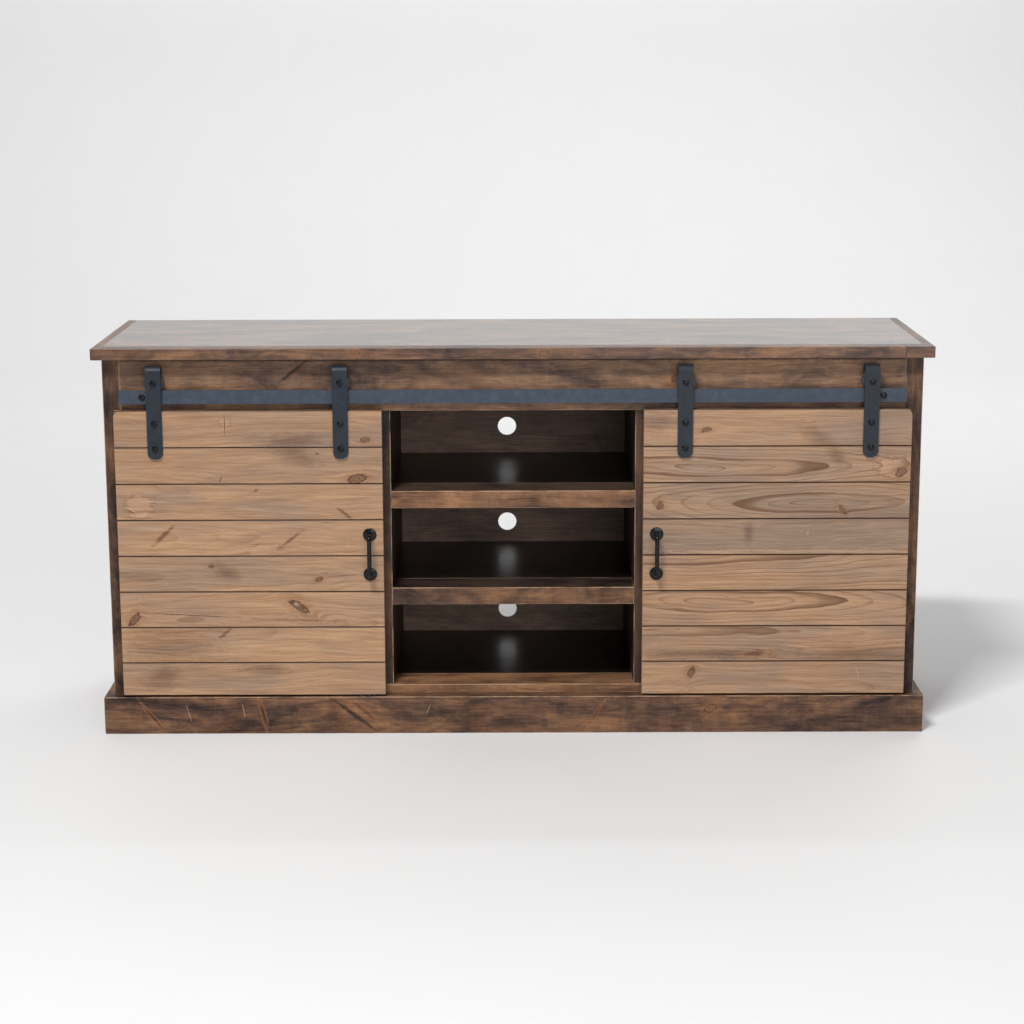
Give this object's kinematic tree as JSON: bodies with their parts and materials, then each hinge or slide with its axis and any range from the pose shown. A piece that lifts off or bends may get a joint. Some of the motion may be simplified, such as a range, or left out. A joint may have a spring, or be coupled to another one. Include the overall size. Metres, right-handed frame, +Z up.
{
  "type": "tv stand with sliding doors",
  "caption": "Rustic wooden media console with sliding plank doors hung by strap rollers on a flat steel rail, open centre bays and a plinth.",
  "frame": {"origin": "on the floor, at the centre of the whole object's box", "axes": "+X to the right seen from the front, +Y towards the back, +Z up; the doors are at the front, towards -Y"},
  "size_m": [1.829, 0.537, 0.868],
  "materials": {
    "carcass_wood": "dark brown stain, mottled, satin lacquer",
    "inner_wood": "near-black brown stain, satin lacquer",
    "door_wood": "light warm brown, knotty, satin lacquer",
    "powder_steel": "matt blue-grey powder coat",
    "black_steel": "semi-gloss black",
    "zinc_steel": "zinc plated"
  },
  "bodies": {
    "cabinet": {"top_panel": "carcass_wood", "top_front_trim": "carcass_wood", "top_front_trim_end": "carcass_wood", "top_left_trim": "carcass_wood", "top_right_trim": "carcass_wood", "left_side_panel": "carcass_wood", "right_side_panel": "carcass_wood", "left_stile": "carcass_wood", "right_stile": "carcass_wood", "header_board": "carcass_wood", "left_divider": "inner_wood", "right_divider": "inner_wood", "bottom_panel": "inner_wood", "bottom_front_rail": "carcass_wood", "upper_shelf": "inner_wood", "upper_shelf_nosing": "carcass_wood", "lower_shelf": "inner_wood", "lower_shelf_nosing": "carcass_wood", "left_bay_shelf": "inner_wood", "right_bay_shelf": "inner_wood", "shelf_pins": "zinc_steel", "back_panel_left": "inner_wood", "back_panel_centre": "inner_wood", "back_panel_right": "inner_wood", "back_rails": "inner_wood", "back_screws": "zinc_steel", "plinth_front": "carcass_wood", "plinth_left": "carcass_wood", "plinth_right": "carcass_wood", "plinth_back": "carcass_wood", "plinth_braces": "inner_wood", "plinth_corner_blocks": "inner_wood", "flat_rail": "powder_steel", "rail_spacers": "black_steel", "rail_bolts": "black_steel", "floor_guides": "black_steel"},
    "left_door": {"left_door_planks": "door_wood", "left_door_backer": "inner_wood", "left_outer_strap": "powder_steel", "left_inner_strap": "powder_steel", "left_strap_screws": "black_steel", "left_axles": "black_steel", "left_handle_bar": "black_steel", "left_handle_rosettes": "black_steel", "left_handle_screws": "zinc_steel"},
    "left_outer_wheel": {"left_outer_wheel": "black_steel"},
    "left_inner_wheel": {"left_inner_wheel": "black_steel"},
    "right_door": {"right_door_planks": "door_wood", "right_door_backer": "inner_wood", "right_outer_strap": "powder_steel", "right_inner_strap": "powder_steel", "right_strap_screws": "black_steel", "right_axles": "black_steel", "right_handle_bar": "black_steel", "right_handle_rosettes": "black_steel", "right_handle_screws": "zinc_steel"},
    "right_outer_wheel": {"right_outer_wheel": "black_steel"},
    "right_inner_wheel": {"right_inner_wheel": "black_steel"}
  },
  "joints": [
    {"name": "left_door_slide", "type": "slide", "parent": "cabinet", "child": "left_door", "axis": [1, 0, 0], "range_m": [0, 0.283]},
    {"name": "left_outer_wheel_roll", "type": "hinge", "parent": "left_door", "child": "left_outer_wheel", "pos_m": [-0.78, -0.2275, 0.7922], "axis": [0, 1, 0], "range_deg": [0, 1000]},
    {"name": "left_inner_wheel_roll", "type": "hinge", "parent": "left_door", "child": "left_inner_wheel", "pos_m": [-0.3755, -0.2275, 0.7922], "axis": [0, 1, 0], "range_deg": [0, 1000]},
    {"name": "right_door_slide", "type": "slide", "parent": "cabinet", "child": "right_door", "axis": [-1, 0, 0], "range_m": [0, 0.283]},
    {"name": "right_outer_wheel_roll", "type": "hinge", "parent": "right_door", "child": "right_outer_wheel", "pos_m": [0.78, -0.2275, 0.7922], "axis": [0, -1, 0], "range_deg": [0, 1000]},
    {"name": "right_inner_wheel_roll", "type": "hinge", "parent": "right_door", "child": "right_inner_wheel", "pos_m": [0.3755, -0.2275, 0.7922], "axis": [0, -1, 0], "range_deg": [0, 1000]}
  ],
  "couplings": [
    {"joint": "left_outer_wheel_roll", "follows": "left_door_slide", "rad_per_m": 60.976},
    {"joint": "left_inner_wheel_roll", "follows": "left_door_slide", "rad_per_m": 60.976},
    {"joint": "right_outer_wheel_roll", "follows": "right_door_slide", "rad_per_m": 60.976},
    {"joint": "right_inner_wheel_roll", "follows": "right_door_slide", "rad_per_m": 60.976}
  ]
}
